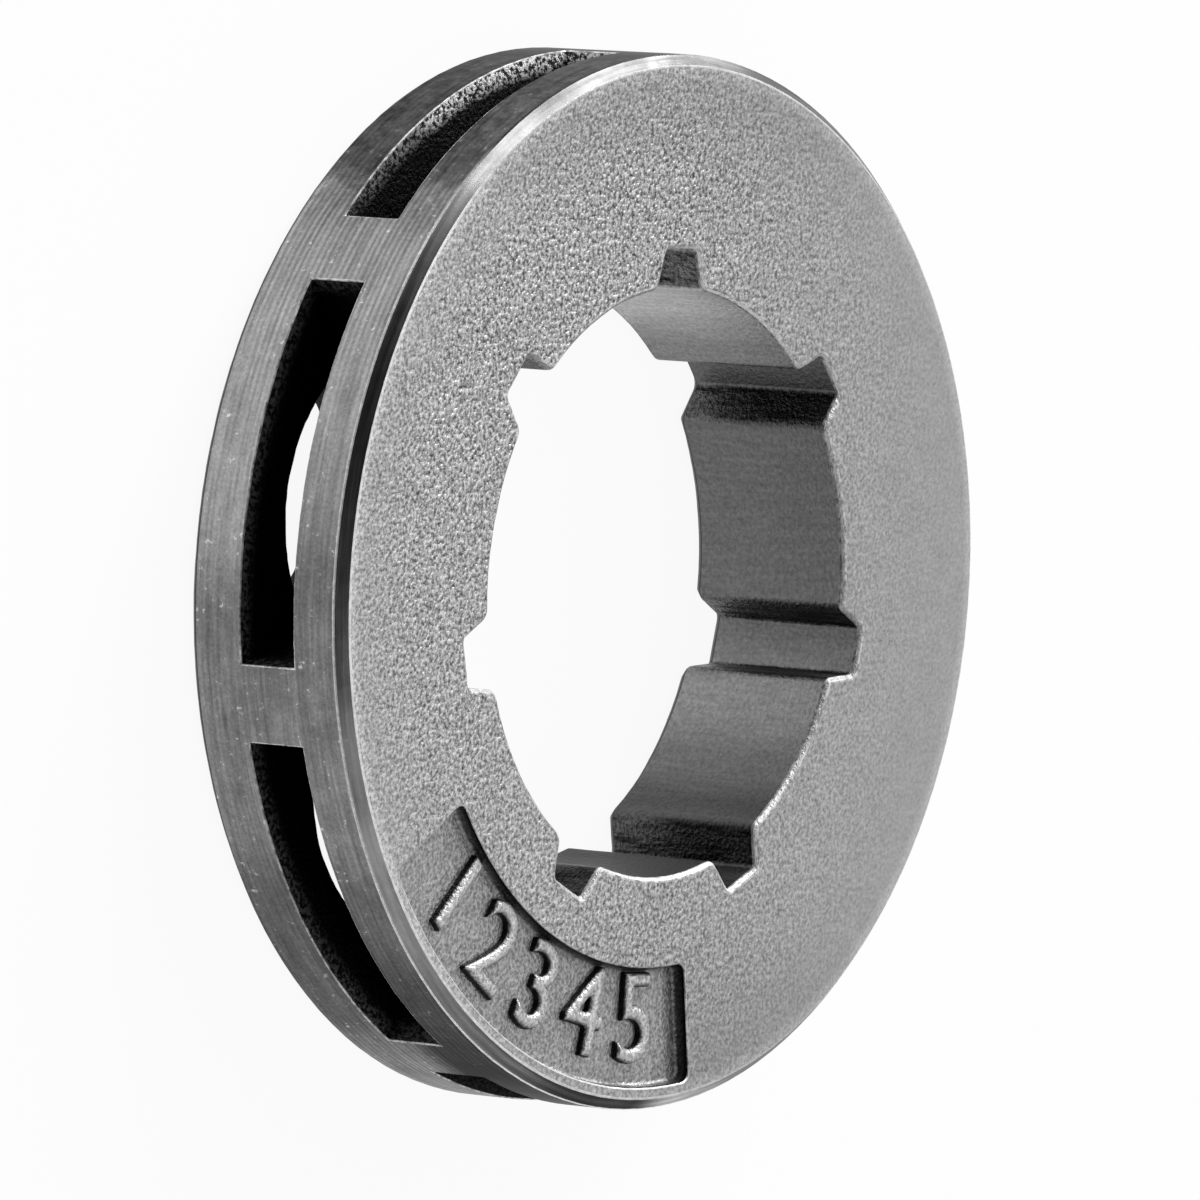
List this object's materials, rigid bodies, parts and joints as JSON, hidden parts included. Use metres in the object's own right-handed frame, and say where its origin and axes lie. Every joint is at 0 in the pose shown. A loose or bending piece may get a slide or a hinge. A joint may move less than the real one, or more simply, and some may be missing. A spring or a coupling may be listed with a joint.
{
  "type": "chainsaw rim sprocket",
  "caption": "Slotted steel ring with chain drive teeth bridging a groove round the rim, a floating spline bore and a sunk marking panel on one face.",
  "frame": {"origin": "centre of the plain rear face, on the bore axis", "axes": "+Z along the bore axis towards the marked front face, +Y through the middle of one drive tooth and its spline notch"},
  "size_m": [0.038, 0.038, 0.0069],
  "materials": {
    "sintered_steel": "matt grained end faces, fine turned rim"
  },
  "bodies": {
    "root": {"rim_sprocket": "sintered_steel"}
  },
  "joints": []
}
